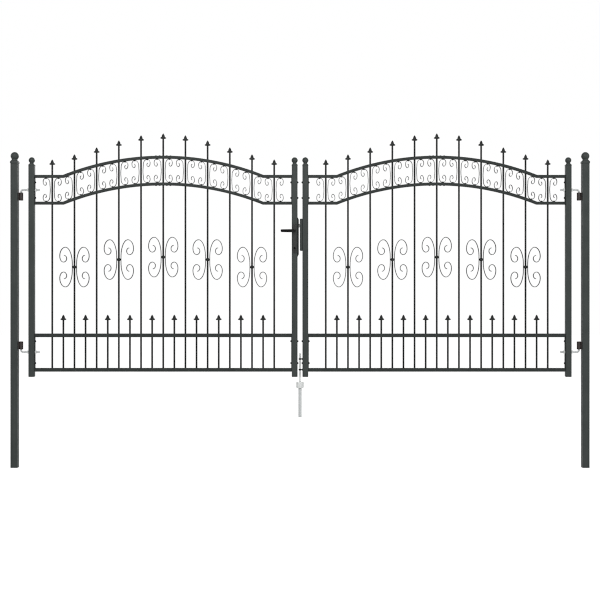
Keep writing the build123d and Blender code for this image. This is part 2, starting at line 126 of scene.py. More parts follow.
def skin(mesh, rings):
    """Joins a row of like rings with faces and closes the first and the last."""
    loops = [[mesh.verts.new(p) for p in ring] for ring in rings]
    for one, two in zip(loops, loops[1:]):
        for i in range(len(one)):
            j = (i + 1) % len(one)
            mesh.faces.new((one[i], one[j], two[j], two[i]))
    mesh.faces.new(loops[0][::-1])
    mesh.faces.new(loops[-1])


def rounded(width, depth, corner, steps):
    """The outline of a tube or strip with rounded corners."""
    points = []
    for quarter, (u, v) in enumerate(((1, 1), (-1, 1), (-1, -1), (1, -1))):
        for i in range(steps + 1):
            angle = math.pi / 2 * (quarter + i / steps)
            points.append((u * (width / 2 - corner) + corner * math.cos(angle),
                           v * (depth / 2 - corner) + corner * math.sin(angle)))
    return points


def upright(mesh, node, corner, ease):
    """A square tube as big as a node's box, with its corners rolled and its ends eased."""
    low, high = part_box(node)
    middle = (low + high) / 2
    wide, deep = high.x - low.x, high.y - low.y
    rings = []
    for height, less in ((low.z, ease), (low.z + ease, 0), (high.z - ease, 0), (high.z, ease)):
        ring = rounded(wide - 2 * less, deep - 2 * less, corner, corner_steps)
        rings.append([Vector((middle.x + u, middle.y + v, height)) for u, v in ring])
    skin(mesh, rings)


def set_up(name, mesh, finish, body, slot, *nodes):
    """Makes a mesh into a piece that rides on a body and stands for the nodes named."""
    bmesh.ops.recalc_face_normals(mesh, faces=mesh.faces)
    data = bpy.data.meshes.new(name)
    mesh.to_mesh(data)
    mesh.free()
    data.shade_smooth()
    data.set_sharp_from_angle(angle=sharp_angle)
    data.materials.append(finish)
    piece = bpy.data.objects.new(name, data)
    bpy.context.scene.collection.objects.link(piece)
    even = piece.modifiers.new("even shading", "WEIGHTED_NORMAL")
    even.keep_sharp = True
    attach(piece, body)
    for node in nodes:
        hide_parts(node)


coat = powder_coat("anthracite powder coat",
                   dark=(0.032, 0.038, 0.0365), light=(0.041, 0.0475, 0.0455), dust=0.3)
for side in sides:
    tube = bmesh.new()
    upright(tube, f"{side}_post", post_corner, post_ease)
    set_up(f"post_tube_{side}", tube, coat, "posts", "anthracite_coat", f"{side}_post")

# Post caps: castings with a square skirt over the tube's end, a hollow slope to a round neck and a
# ball. They are driven on and coated with the post.
post_cap = {"skirt": 56 * mm, "base": 14 * mm, "slope": 17 * mm, "neck": 39 * mm, "ball": 56.8 * mm}
cap_rim = 0.8 * mm
cap_shoulder = 1.2 * mm
cap_lip = 1 * mm
slope_start = 1.6 * mm
ball_pole = 0.6 * mm
cap_sides = 48
ball_rows = 17
nearly_square = 14
fully_round = 2
slope_shares = (0.12, 0.3, 0.5, 0.7, 0.88, 1.0)
slope_hollow = 2.2
slope_square = 10
square_fade = 1.5


def cap_rings(middle, foot, skirt, base, slope, neck, ball):
    """Rings of a ball cap, square at the skirt and round from the neck up."""
    seat = math.sqrt((ball / 2) ** 2 - (neck / 2) ** 2)
    heart = base + slope + seat
    rows = [(skirt / 2 - cap_rim, nearly_square, 0), (skirt / 2, nearly_square, cap_rim),
            (skirt / 2, nearly_square, base - cap_shoulder), (skirt / 2 - cap_lip, nearly_square, base)]
    for share in slope_shares:
        reach = neck / 2 + (skirt / 2 - slope_start - neck / 2) * (1 - share) ** slope_hollow
        square = fully_round + slope_square * (1 - share) ** square_fade
        rows.append((reach, square, base + slope * share))
    lowest = -math.asin(seat / (ball / 2))
    for i in range(1, ball_rows):
        angle = lowest + (math.pi / 2 - lowest) * i / ball_rows
        rows.append((ball / 2 * math.cos(angle), fully_round, heart + ball / 2 * math.sin(angle)))
    rows.append((ball_pole, fully_round, heart + ball / 2))
    rings = []
    for half, square, height in rows:
        ring = []
        for i in range(cap_sides):
            angle = math.tau * i / cap_sides
            u, v = math.cos(angle), math.sin(angle)
            reach = half / (abs(u) ** square + abs(v) ** square) ** (1 / square)
            ring.append(Vector((middle.x + u * reach, middle.y + v * reach, foot + height)))
        rings.append(ring)
    return rings


caps = bmesh.new()
for side in sides:
    low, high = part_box(f"{side}_post")
    skin(caps, cap_rings((low + high) / 2, high.z, **post_cap))
set_up("post_ball_caps", caps, coat, "posts", "anthracite_coat", "post_caps")

# Hinge barrels: turned steel sockets with eased rims, each on a short web that is welded to the post
# with a rippled bead down both sides. They are left in brown-black, thinly oiled.
Z = Vector((0, 0, 1))
socket_radius = 14 * mm
socket_tall = 55 * mm
socket_from_post = 20 * mm
socket_rim = 1.6 * mm
rim_step = 0.5 * mm
bore_radius = 6.2 * mm
bore_deep = 44 * mm
bore_rim = 1.2 * mm
web_reach = 9 * mm
web_half = 8 * mm
web_short = 1.5 * mm
web_ease = 0.6 * mm
bead_radius = 2.1 * mm
bead_swell = 0.5 * mm
bead_ripples = 11
bead_rings = 44
bead_tip = 0.03
bead_fullness = 0.3
bead_from_post = 1 * mm
bead_aside = 8.2 * mm
mitre_limit = 0.5


def worn_finish(name, dark, light, clouds, rough, patches, peel, relief, depth, metal=0.0, gloss=0.5):
    """A plain dark finish with clouds in its colour, patches in its gloss and a fine skin."""
    finish, shader, place = finish_of(name)
    links = finish.node_tree.links
    links.new(mottle(finish, place, clouds, dark, light), shader.inputs["Base Color"])
    links.new(uneven(finish, place, patches, rough), shader.inputs["Roughness"])
    links.new(grain(finish, place, peel, relief, depth), shader.inputs["Normal"])
    shader.inputs["Metallic"].default_value = metal
    shader.inputs["Specular IOR Level"].default_value = gloss
    return finish


def ends_of(node, way):
    """The two ends of a node along the gate: the one by its own post, and the one by the other leaf."""
    low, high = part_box(node)
    return (low.x, high.x) if way < 0 else (high.x, low.x)


def turned(profile, middle, along, count):
    """Rings of a turned shape; the profile gives radius and place along the axis."""
    one = along.orthogonal().normalized()
    two = along.cross(one)
    rings = []
    for radius, height in profile:
        ring = []
        for i in range(count):
            angle = math.tau * i / count
            spoke = one * math.cos(angle) + two * math.sin(angle)
            ring.append(middle + along * height + spoke * radius)
        rings.append(ring)
    return rings


def slab(mesh, outline, along, low, high, ease):
    """A flat outline made thick between two places along an axis, with its edges eased."""
    count = len(outline)
    drawn_in = []
    for i, point in enumerate(outline):
        arriving = (point - outline[i - 1]).normalized()
        leaving = (outline[(i + 1) % count] - point).normalized()
        run = (arriving + leaving).normalized()
        inward = along.cross(run)
        drawn_in.append(point + inward * ease / max(run.dot(arriving), mitre_limit))
    skin(mesh, [[p + along * low for p in drawn_in], [p + along * (low + ease) for p in outline],
                [p + along * (high - ease) for p in outline], [p + along * high for p in drawn_in]])


def crosswise(one, two, half):
    """The outline, seen from above, of a flat piece between two places along the gate."""
    low, high = min(one, two), max(one, two)
    corners = ((low, -half), (high, -half), (high, half), (low, half))
    return [Vector((x, y, 0)) for x, y in corners]


def weld_bead(mesh, start, up, length):
    """A rippled bead that swells in from both ends."""
    profile = []
    for i in range(bead_rings + 1):
        share = i / bead_rings
        taper = math.sin(math.pi * min(max(share, bead_tip), 1 - bead_tip)) ** bead_fullness
        swell = bead_radius + bead_swell * math.cos(math.tau * share * bead_ripples)
        profile.append((swell * taper, share * length))
    skin(mesh, turned(profile, start, up, count=10))


hinge_black = worn_finish("hinge black", dark=(0.024, 0.0185, 0.018), light=(0.046, 0.037, 0.035),
                          clouds=60.0, rough=(0.28, 0.5), patches=90.0, peel=500.0,
                          relief=0.2, depth=0.5 * mm, metal=0.2)
socket_profile = [(bore_radius, bore_deep), (bore_radius, bore_rim), (bore_radius + bore_rim, 0),
                  (socket_radius - socket_rim, 0), (socket_radius - rim_step, rim_step),
                  (socket_radius, socket_rim), (socket_radius, socket_tall - socket_rim),
                  (socket_radius - rim_step, socket_tall - rim_step),
                  (socket_radius - socket_rim, socket_tall)]
for side, way in sides.items():
    low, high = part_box(f"{side}_hinge_barrels")
    post_face = ends_of(f"{side}_post", way)[1]
    web = crosswise(post_face, post_face - way * web_reach, web_half)
    barrels = bmesh.new()
    for foot, up in ((low.z, Z), (high.z, -Z)):
        middle = Vector((post_face - way * socket_from_post, 0, foot))
        skin(barrels, turned(socket_profile, middle, up, count=40))
        lowest = min(foot, foot + up.z * socket_tall)
        slab(barrels, web, Z, lowest + web_short, lowest + socket_tall - web_short, web_ease)
        for edge in (-1, 1):
            start = Vector((post_face - way * bead_from_post, edge * bead_aside, foot)) + up * web_short
            weld_bead(barrels, start, up, socket_tall - 2 * web_short)
    set_up(f"hinge_sockets_{side}", barrels, hinge_black, "posts", "hinge_black", f"{side}_hinge_barrels")

# Ground sleeve: a six-sided zinc-plated cup, chamfered like a nut, on a plain galvanised tube that is
# set in the drive under the drop bolt. The cup is brighter than the tube.
X = Vector((1, 0, 0))
cup_tall = 43 * mm
cup_corner = 27 * mm
cup_bevel = 5 * mm
cup_bore = 9.2 * mm
pipe_radius = 11.5 * mm
pipe_bore = 9 * mm
pipe_ease = 0.5 * mm
pipe_in_cup = 1 * mm
bore_ease = 0.6 * mm
bevel_shares = (0.35, 0.7, 1.0)
nut_points = 72
end_face_share = 0.985
spangle_share = 0.18


def six_sided(middle, along, corner, low, high, bevel, bore):
    """Rings of a nut: flats with the corners turned off at both ends, and a bore right through."""
    one = X if along == Z else along.orthogonal().normalized()
    two = along.cross(one)
    flat = corner * math.cos(math.pi / 6)
    rows = [(bore, low + bore_ease), (bore + bore_ease, low), (flat * end_face_share, low)]
    for share in bevel_shares:
        rows.append((flat + (corner - flat) * share, low + bevel * share))
    rows.append((corner, (low + high) / 2))
    for share in bevel_shares[::-1]:
        rows.append((flat + (corner - flat) * share, high - bevel * share))
    rows += [(flat * end_face_share, high), (bore + bore_ease, high), (bore, high - bore_ease)]
    rings = []
    for reach, height in rows:
        ring = []
        for i in range(nut_points):
            angle = math.tau * i / nut_points
            side_angle = (angle + math.pi / 6) % (math.pi / 3) - math.pi / 6
            hexagon = flat / math.cos(math.pi / 6 - abs(side_angle))
            spoke = one * math.cos(angle) + two * math.sin(angle)
            ring.append(middle + along * height + spoke * min(reach, hexagon))
        rings.append(ring)
    return rings


def ring_skin(mesh, rings):
    """Joins a row of rings all the way round, the last to the first, with no ends."""
    loops = [[mesh.verts.new(p) for p in ring] for ring in rings]
    for one, two in zip(loops, loops[1:] + loops[:1]):
        for i in range(len(one)):
            j = (i + 1) % len(one)
            mesh.faces.new((one[i], one[j], two[j], two[i]))


def zinc(name, dark, light, rough, shine):
    """Zinc with a fine spangle and some dull clouds, from matt, 0, to bright metal, 1."""
    finish, shader, place = finish_of(name)
    flake = add(finish, "ShaderNodeTexVoronoi", {"Vector": place, "Scale": 260.0})
    tone = mottle(finish, place, scale=90.0, dark=dark, light=light)
    shade = add(finish, "ShaderNodeRGBToBW", {"Color": flake.outputs["Color"]})
    spangle = add(finish, "ShaderNodeMix",
                  {"Factor": spangle_share, "A": tone, "B": shade.outputs["Val"]},
                  data_type="RGBA", blend_type="SOFT_LIGHT")
    links = finish.node_tree.links
    links.new(spangle.outputs[2], shader.inputs["Base Color"])
    links.new(uneven(finish, place, scale=120.0, limits=rough), shader.inputs["Roughness"])
    relief = grain(finish, place, scale=700.0, strength=0.12, depth=0.4 * mm)
    links.new(relief, shader.inputs["Normal"])
    shader.inputs["Metallic"].default_value = shine
    shader.inputs["Specular IOR Level"].default_value = shine
    return finish


bright_zinc = zinc("bright zinc plate", dark=(0.45, 0.46, 0.46), light=(0.53, 0.54, 0.53),
                   rough=(0.34, 0.46), shine=0.3)
dull_zinc = zinc("galvanised steel", dark=(0.36, 0.37, 0.37), light=(0.42, 0.43, 0.43),
                 rough=(0.5, 0.62), shine=0.05)
low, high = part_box("ground_sleeve")
middle = Vector(((low.x + high.x) / 2, 0, 0))
cup_foot = high.z - cup_tall
cup = bmesh.new()
ring_skin(cup, six_sided(middle, Z, cup_corner, cup_foot, high.z, cup_bevel, cup_bore))
set_up("bolt_cup", cup, bright_zinc, "posts", "zinc_steel", "ground_sleeve")
pipe_profile = [(pipe_bore, low.z + pipe_ease), (pipe_bore + pipe_ease, low.z),
                (pipe_radius - pipe_ease, low.z), (pipe_radius, low.z + pipe_ease),
                (pipe_radius, cup_foot + pipe_in_cup), (pipe_bore, cup_foot + pipe_in_cup)]
pipe = bmesh.new()
ring_skin(pipe, turned(pipe_profile, middle, Z, count=40))
set_up("bolt_pipe", pipe, dull_zinc, "posts", "zinc_steel", "ground_sleeve")

# Stiles: 40 mm square tube with rolled corners, one at each end of both leaves, coated like the posts.
# The hinge stile is drilled for the pins, and the lock stile of the left leaf for the lock.
stile_corner = 3.5 * mm
stile_ease = 0.6 * mm
stile_kinds = ("hinge", "lock")
for side in sides:
    for kind in stile_kinds:
        node = f"{side}_{kind}_stile"
        tube = bmesh.new()
        upright(tube, node, stile_corner, stile_ease)
        set_up(f"{kind}_stile_tube_{side}", tube, coat, f"{side}_leaf", "anthracite_coat", node)

# Stile caps: smaller castings of the posts' pattern, with a shallow skirt and a flared neck.
# They are driven on the stiles' tops and coated with them.
stile_cap = {"skirt": 42 * mm, "base": 8 * mm, "slope": 14 * mm, "neck": 26 * mm, "ball": 43 * mm}
for side in sides:
    caps = bmesh.new()
    for kind in stile_kinds:
        low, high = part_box(f"{side}_{kind}_stile")
        skin(caps, cap_rings((low + high) / 2, high.z, **stile_cap))
    set_up(f"stile_ball_caps_{side}", caps, coat, f"{side}_leaf", "anthracite_coat", f"{side}_stile_caps")

# Stile plugs: moulded black polyethylene, pushed into the open ends at the stiles' feet.
# A flange as wide as the tube, with rounded edges, closes each end. The rows give height and width in mm.
plug_corner = 3 * mm
flange_face = [(0, 34), (0.8, 37.6), (2.2, 39.4)]
flange_edge = [(-0.6, 39.8), (0, 39.2), (0.4, 36)]
plug_top = [(-2, 36), (0, 34)]
plug_black = worn_finish("plug plastic", dark=(0.012, 0.012, 0.012), light=(0.022, 0.022, 0.022),
                         clouds=120.0, rough=(0.5, 0.66), patches=200.0, peel=1500.0,
                         relief=0.2, depth=0.3 * mm)
for side in sides:
    foot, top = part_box(f"{side}_stile_plugs")
    plugs = bmesh.new()
    for kind in stile_kinds:
        low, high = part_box(f"{side}_{kind}_stile")
        middle = (low + high) / 2
        rings = []
        for level, rows in ((foot.z, flange_face), (low.z, flange_edge), (top.z, plug_top)):
            for rise, width in rows:
                ring = rounded(width * mm, width * mm, plug_corner, corner_steps)
                rings.append([Vector((middle.x + u, v, level + rise * mm)) for u, v in ring])
        skin(plugs, rings)
    set_up(f"foot_plugs_{side}", plugs, plug_black, f"{side}_leaf", "plug_plastic", f"{side}_stile_plugs")

# Arched rails: 20 mm square tube that leaves each stile level, kinks, and rises in one arc over the
# middle of the leaf. The two halves of each are joined under the middle bar by a splice inside.
Y = Vector((0, 1, 0))
arch_tube = 20 * mm
arch_corner = 2.5 * mm
rail_corner_steps = 3
half_span = 702 * mm
arch_steps = 36
low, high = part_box("left_upper_arch_rail")
upper_height = low.z + arch_tube / 2
lower_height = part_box("left_lower_arch_rail")[0].z + arch_tube / 2
arch_rise = high.z - low.z - arch_tube
arch_radius = (half_span ** 2 + arch_rise ** 2) / (2 * arch_rise)
leaf_middle = {}
panel_half = {}
for side in sides:
    low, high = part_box(f"{side}_bottom_rail")
    leaf_middle[side] = (low.x + high.x) / 2
    panel_half[side] = (high.x - low.x) / 2


def arch(place, offset):
    """How high an arched rail stands over its level ends, at its middle line or an edge beside it."""
    reach = (arch_radius + offset) ** 2 - place ** 2
    return max(offset, arch_rise - arch_radius + math.sqrt(max(reach, 0)))


def sweep(mesh, path, outline, deep):
    """Carries an outline along a path in one plane, mitred at its bends, and closes both ends."""
    rings = []
    for i, point in enumerate(path):
        before = path[max(i - 1, 0)]
        after = path[min(i + 1, len(path) - 1)]
        arriving = (point - before).normalized() if i else (after - point).normalized()
        leaving = (after - point).normalized() if i < len(path) - 1 else arriving
        run = (arriving + leaving).normalized()
        across = deep.cross(run) / max(run.dot(arriving), mitre_limit)
        rings.append([point + across * u + deep * v for u, v in outline])
    skin(mesh, rings)


# The rails and end plates wear the posts' anthracite coat with darker shades: painted shade, so that the
# thinner tubes read darker than the posts.
rail_coat_painted_shade = powder_coat("anthracite powder coat, rails, painted shade",
                        dark=(0.0205, 0.0245, 0.0235), light=(0.028, 0.033, 0.0315), dust=0.24)
for side in sides:
    for name, height in (("upper", upper_height), ("lower", lower_height)):
        path = [Vector((leaf_middle[side] - panel_half[side], 0, height))]
        for i in range(2 * arch_steps + 1):
            place = half_span * (i / arch_steps - 1)
            path.append(Vector((leaf_middle[side] + place, 0, height + arch(place, 0))))
        path.append(Vector((leaf_middle[side] + panel_half[side], 0, height)))
        rail = bmesh.new()
        sweep(rail, path, rounded(arch_tube, arch_tube, arch_corner, rail_corner_steps), Y)
        set_up(f"{name}_arch_tube_{side}", rail, rail_coat_painted_shade, f"{side}_leaf", "anthracite_coat",
               f"{side}_{name}_arch_rail")

# Splice screws: low domed black heads along the arched rails, two each side of the middle bar, on top
# of the upper rail and under the lower one, where the splice is screwed in from outside.
splice_places = [-51 * mm, -25 * mm, 25 * mm, 51 * mm]
splice_head = 7.5 * mm
splice_rise = 3.2 * mm
head_sunk = 0.4 * mm
head_rim_share = 0.15
head_tip = 0.1 * mm
head_steps = 6


def dome(mesh, middle, along, radius, rise, count):
    """A round screw head on a surface, sunk a little so that it closes on it."""
    profile = [(radius, -head_sunk), (radius, head_rim_share * rise)]
    for i in range(1, head_steps):
        angle = math.pi / 2 * i / head_steps
        height = rise * (head_rim_share + (1 - head_rim_share) * math.sin(angle))
        profile.append((radius * math.cos(angle), height))
    profile.append((head_tip, rise))
    skin(mesh, turned(profile, middle, along, count))


fixing_black = worn_finish("black fixings", dark=(0.007, 0.007, 0.0075), light=(0.015, 0.015, 0.0155),
                           clouds=150.0, rough=(0.3, 0.46), patches=200.0, peel=800.0,
                           relief=0.15, depth=0.4 * mm, metal=0.3)
for side in sides:
    heads = bmesh.new()
    for place in splice_places:
        outward = Vector((place, 0, math.sqrt(arch_radius ** 2 - place ** 2))).normalized()
        for height, edge in ((upper_height, 1), (lower_height, -1)):
            middle = Vector((leaf_middle[side] + place, 0, height + arch(place, 0)))
            at = middle + outward * edge * arch_tube / 2
            dome(heads, at, outward * edge, splice_head, splice_rise, count=20)
    set_up(f"splice_screws_{side}", heads, fixing_black, f"{side}_leaf", "lock_black")

# Straight rails: 25 mm square tube, level between the stiles, coated like the arched ones.
# The middle one is drilled for every bar, and the bars stand on the bottom one.
straight_tube = 25 * mm
straight_corner = 2.8 * mm
for side in sides:
    for name in ("middle", "bottom"):
        node = f"{side}_{name}_rail"
        low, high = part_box(node)
        height = (low.z + high.z) / 2
        rail = bmesh.new()
        sweep(rail, [Vector((low.x, 0, height)), Vector((high.x, 0, height))],
              rounded(straight_tube, straight_tube, straight_corner, rail_corner_steps), Y)
        set_up(f"{name}_rail_tube_{side}", rail, rail_coat_painted_shade, f"{side}_leaf", "anthracite_coat", node)

# End plates: flat steel 4 by 20 mm, welded upright between the ends of each pair of rails.
# They are bolted to the stiles, which is how the panel is held in its frame.
plate_thick = 4 * mm
plate_half = 10 * mm
plate_ease = 0.5 * mm
frieze_room = (lower_height + arch_tube / 2, upper_height - arch_tube / 2)
for side in sides:
    plates = bmesh.new()
    lower_room = (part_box(f"{side}_bottom_rail")[1].z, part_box(f"{side}_middle_rail")[0].z)
    for foot, top in (frieze_room, lower_room):
        for end in (-1, 1):
            outer = leaf_middle[side] + end * panel_half[side]
            outline = crosswise(outer - end * plate_thick, outer, plate_half)
            slab(plates, outline, Z, foot, top, plate_ease)
    set_up(f"rail_end_plates_{side}", plates, rail_coat_painted_shade, f"{side}_leaf", "anthracite_coat",
           f"{side}_end_plates")

# Bars: 12 mm round bar through the rails, welded where they cross. Eleven long ones rise in a wave
# over the arch, and ten short ones stand between them in the lower panel.
bar_radius = 6 * mm
bar_ease = 0.6 * mm
bar_spacing = 156 * mm
bar_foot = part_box("left_bottom_rail")[1].z
long_places = [k * bar_spacing for k in range(-5, 6)]
short_places = [place + bar_spacing / 2 for place in long_places[:-1]]
spear_tall = 38 * mm
short_tip = 1073 * mm
tip_level = 2249 * mm
tip_wave = 98 * mm


def spear_tip(place):
    """The tips rise to the leaf's middle and fall again in a smooth wave."""
    return tip_level + tip_wave * math.cos(math.pi * place / (6 * bar_spacing))


# The bars, spear heads and collars wear the posts' anthracite coat with much darker shades: painted shade
# for the dark sides of thin round bars.
bar_coat_painted_shade = powder_coat("anthracite powder coat, bars, painted shade",
                       dark=(0.009, 0.0105, 0.0102), light=(0.015, 0.017, 0.0165), dust=0.2)
for side in sides:
    for name, places in (("long", long_places), ("short", short_places)):
        bars = bmesh.new()
        for place in places:
            tip = spear_tip(place) if name == "long" else short_tip
            end = tip - spear_tall
            profile = [(bar_radius - bar_ease, bar_foot), (bar_radius, bar_foot + bar_ease),
                       (bar_radius, end - bar_ease), (bar_radius - bar_ease, end)]
            skin(bars, turned(profile, Vector((leaf_middle[side] + place, 0, 0)), Z, count=20))
        set_up(f"{name}_round_bars_{side}", bars, bar_coat_painted_shade, f"{side}_leaf", "anthracite_coat",
               f"{side}_{name}_bars")

# Spear heads: small iron castings with a ridge down the blade and two rounded barbs, welded to the
# bars' ends. The rows give half the width and the height in mm: the barbs, the throat, the blade.
barb_rows = [(6.2, 0.0), (9.0, 0.2), (14.0, 0.9), (18.0, 2.4), (20.0, 4.2), (20.5, 6.0), (20.0, 7.8),
             (18.2, 9.6), (15.2, 11.2)]
throat_rows = [(12.6, 12.8), (11.0, 14.6), (10.4, 16.8), (10.2, 18.8)]
blade_rows = [(9.6, 21.4), (8.6, 24.4), (7.1, 27.8), (5.3, 31.2), (3.4, 34.2), (1.6, 36.8), (0.3, 38.0)]
ridge_half = 4.5
tip_ridge = 0.9
ridge_share = 0.42
edge_half = 1.6
edge_share = 0.5
blade_foot = 15
face_shares = [(0.62, 0.62), (0.22, 0.95)]
for side in sides:
    spears = bmesh.new()
    for place in long_places + short_places:
        tip = spear_tip(place) if place in long_places else short_tip
        foot = Vector((leaf_middle[side] + place, 0, tip - spear_tall))
        rings = []
        for half, height in barb_rows + throat_rows + blade_rows:
            ridge = min(ridge_half, tip_ridge + half * ridge_share) if height > blade_foot else ridge_half
            edge = min(edge_half, ridge * edge_share)
            face = [(1, edge)] + [(u, ridge * v) for u, v in face_shares]
            back = [(-u, v) for u, v in face[::-1]]
            outline = face + back + [(-u, -v) for u, v in face + back]
            rings.append([foot + Vector((u * half, v, height)) * mm for u, v in outline])
        skin(spears, rings)
    set_up(f"spear_castings_{side}", spears, bar_coat_painted_shade, f"{side}_leaf", "anthracite_coat",
           f"{side}_spear_heads")

# Frieze scrolls: 3 by 12 mm strip bent cold into C-scrolls, one each side of every long bar, wedged
# between the arched rails and held to both by a round-headed screw at each crest.
strip_wide = 12 * mm
strip_thick = 3 * mm
strip_corner = 1 * mm
scroll_from_bar = 44.5 * mm
back_place = 13.5 * mm
back_bow = 3 * mm
back_steps = 9
curl_steps = 12
seat_gap = 0.2 * mm
crest_head = 6.5 * mm
crest_rise = 4.8 * mm
frieze_quarters = [(27.3 * mm, 34 * mm), (20.2 * mm, 25 * mm), (14 * mm, 26 * mm), (9 * mm, 14 * mm),
                   (7 * mm, 10 * mm)]
frieze_middle = (upper_height + lower_height) / 2
frieze_half = (upper_height - lower_height) / 2


def volute(start, quarters):
    """A curl of quarter ellipses, each tighter than the last: up, outward, down, inward and up again."""
    points = [start]
    for k, (reach, rise) in enumerate(quarters):
        first = math.pi / 2 * k
        middle = (points[-1][0] + reach * math.cos(first), points[-1][1] - rise * math.sin(first))
        for i in range(1, curl_steps + 1):
            angle = first + math.pi / 2 * i / curl_steps
            points.append((middle[0] - reach * math.cos(angle), middle[1] + rise * math.sin(angle)))
    return points


def mirrored(upper):
    """A whole line from its upper half, which starts at its middle."""
    return [(u, -v) for u, v in upper[:0:-1]] + upper


# The scrolls wear the posts' anthracite coat with darker shades: painted shade for the thin strip's sides.
scroll_coat_painted_shade = powder_coat("anthracite powder coat, scrolls, painted shade",
                          dark=(0.018, 0.021, 0.0205), light=(0.028, 0.032, 0.031), dust=0.3)
strip = rounded(strip_thick, strip_wide, strip_corner, steps=2)
curl = volute((back_place + back_bow, 0), frieze_quarters)
for side in sides:
    scrolls = bmesh.new()
    heads = bmesh.new()
    for place in long_places:
        for way in (-1, 1):
            lift = arch(place + way * scroll_from_bar, 0)
            room = []
            for u, v in curl:
                above = arch(place + way * u, -arch_tube / 2) - lift
                below = lift - arch(place + way * u, arch_tube / 2)
                room.append(frieze_half + min(above, below) - v - strip_thick / 2)
            rise = min(room) - seat_gap
            upper = []
            for i in range(back_steps):
                share = i / back_steps
                upper.append((back_place + back_bow * share * share * (3 - 2 * share), rise * share))
            upper += [(u, v + rise) for u, v in curl]
            middle = Vector((leaf_middle[side] + place, 0, frieze_middle + lift))
            sweep(scrolls, [middle + Vector((way * u, 0, v)) for u, v in mirrored(upper)], strip, Y)
            crest = max(upper, key=lambda p: p[1])
            for up in (1, -1):
                at = middle + Vector((way * crest[0], 0, up * (crest[1] - strip_thick / 2)))
                dome(heads, at, -Z * up, crest_head, crest_rise, count=16)
    set_up(f"frieze_strip_scrolls_{side}", scrolls, scroll_coat_painted_shade, f"{side}_leaf", "anthracite_coat",
           f"{side}_frieze_scrolls")
    set_up(f"frieze_screws_{side}", heads, fixing_black, f"{side}_leaf", "lock_black")

# Butterfly scrolls: 4 by 12 mm strip bent cold into tall curls, in pairs back to back, one pair on
# every second long bar. Each stands against a bead on the bar at its middle and is welded to it.
stout_thick = 4 * mm
stout_corner = 1.2 * mm
stem_place = 15 * mm
stem_rise = 20 * mm
butterfly_quarters = [(48.2 * mm, 119.5 * mm), (40 * mm, 62.5 * mm), (26 * mm, 42 * mm),
                      (22.4 * mm, 25 * mm), (18 * mm, 22 * mm)]
butterfly_places = long_places[1::2]
butterfly_top = 1478 * mm
butterfly_fall = 70 * mm


def butterfly_height(place):
    """The ornaments hang lower towards the stiles, in step with the arch."""
    return butterfly_top - butterfly_fall * (place / (4 * bar_spacing)) ** 2


stout_strip = rounded(stout_thick, strip_wide, stout_corner, steps=2)
butterfly = mirrored([(stem_place, 0)] + volute((stem_place, stem_rise), butterfly_quarters))
for side in sides:
    scrolls = bmesh.new()
    for place in butterfly_places:
        middle = Vector((leaf_middle[side] + place, 0, butterfly_height(place)))
        for way in (-1, 1):
            sweep(scrolls, [middle + Vector((way * u, 0, v)) for u, v in butterfly], stout_strip, Y)
    set_up(f"butterfly_strip_scrolls_{side}", scrolls, scroll_coat_painted_shade, f"{side}_leaf", "anthracite_coat",
           f"{side}_butterfly_scrolls")

# Collars: turned steel beads slid on the bars and welded, widest in the middle, where the butterflies
# stand against them. The rows give radius and height in mm, from the middle up and into the bore.
bead_rows = [(13.0, 0), (12.8, 2.2), (12.0, 4.6), (10.6, 7.2), (9.4, 9.2), (8.4, 10), (6.6, 10), (6.1, 9.2)]
bead_profile = [(radius * mm, height * mm) for radius, height in mirrored(bead_rows)]
for side in sides:
    beads = bmesh.new()
    for place in butterfly_places:
        middle = Vector((leaf_middle[side] + place, 0, butterfly_height(place)))
        ring_skin(beads, turned(bead_profile, middle, Z, count=32))
    set_up(f"bar_beads_{side}", beads, bar_coat_painted_shade, f"{side}_leaf", "anthracite_coat", f"{side}_collars")

# Hinge pins: 12 mm galvanised rod bent to an L. The short leg stands in the barrel; the long one goes
# through the stile, and its end is threaded for the nuts.
pin_heights = (1950 * mm, 811 * mm)
pin_radius = 6 * mm
pin_leg = 63.4 * mm
pin_bend = 14 * mm
bend_steps = 8
rod_sides = 24
thread_long = 44 * mm
thread_lap = 0.6 * mm
thread_rows = 52
thread_step = 0.86 * mm
thread_crest = 5.9 * mm
thread_root = 5.2 * mm
thread_end = 4.6 * mm


def round_outline(radius):
    """The outline of a round rod."""
    turns = [math.tau * i / rod_sides for i in range(rod_sides)]
    return [(radius * math.cos(angle), radius * math.sin(angle)) for angle in turns]


thread = []
for i in range(thread_rows):
    thread.append((thread_crest if i % 2 else thread_root, i * thread_step))
thread.append((thread_end, thread_long + thread_lap))
for side, way in sides.items():
    bent_end, straight_end = ends_of(f"{side}_hinge_pins", way)
    axis = bent_end - way * pin_radius
    pins = bmesh.new()
    for height, toward in zip(pin_heights, (-1, 1)):
        path = [Vector((axis, 0, height + toward * pin_leg))]
        for i in range(bend_steps + 1):
            angle = math.pi / 2 * i / bend_steps
            path.append(Vector((axis - way * pin_bend * (1 - math.cos(angle)), 0,
                                height + toward * pin_bend * (1 - math.sin(angle)))))
        path.append(Vector((straight_end + way * thread_long, 0, height)))
        sweep(pins, path, round_outline(pin_radius), Y)
        start = Vector((straight_end + way * (thread_long + thread_lap), 0, height))
        skin(pins, turned(thread, start, -way * X, rod_sides))
    set_up(f"bent_pins_{side}", pins, dull_zinc, f"{side}_leaf", "zinc_steel", f"{side}_hinge_pins")

